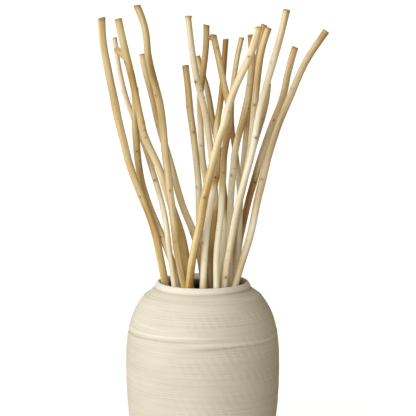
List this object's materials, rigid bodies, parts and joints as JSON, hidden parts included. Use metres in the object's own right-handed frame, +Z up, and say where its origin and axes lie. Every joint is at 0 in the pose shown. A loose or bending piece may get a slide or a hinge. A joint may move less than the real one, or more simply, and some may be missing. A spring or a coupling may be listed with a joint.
{
  "type": "vase of peeled willow stems",
  "caption": "Tall rounded ceramic vase holding a fanned bunch of bare, peeled willow stems with cut ends.",
  "frame": {"origin": "centre of the underside of the vase, on the surface that it stands on", "axes": "+Z up the vase's axis; the stems' broad fan faces -Y, with +X to that viewer's right"},
  "size_m": [0.2957, 0.2066, 0.6857],
  "materials": {
    "unglazed_ceramic": "matt, unglazed, with fine throwing lines",
    "peeled_willow_pale": "smooth peeled wood, satin",
    "peeled_willow_straw": "smooth peeled wood, satin",
    "peeled_willow_honey": "smooth peeled wood, satin",
    "peeled_willow_brown": "smooth peeled wood, satin"
  },
  "bodies": {
    "root": {"vase": "unglazed_ceramic", "stem_01": "peeled_willow_honey", "stem_02": "peeled_willow_pale", "stem_03": "peeled_willow_honey", "stem_04": "peeled_willow_straw", "stem_05": "peeled_willow_straw", "stem_06": "peeled_willow_straw", "stem_07": "peeled_willow_straw", "stem_08": "peeled_willow_pale", "stem_09": "peeled_willow_straw", "stem_10": "peeled_willow_straw", "stem_11": "peeled_willow_straw", "stem_12": "peeled_willow_brown", "stem_13": "peeled_willow_brown", "stem_14": "peeled_willow_brown", "stem_15": "peeled_willow_honey", "stem_16": "peeled_willow_straw", "stem_17": "peeled_willow_brown", "stem_18": "peeled_willow_honey", "stem_19": "peeled_willow_pale", "stem_20": "peeled_willow_brown", "stem_21": "peeled_willow_pale"}
  },
  "joints": []
}
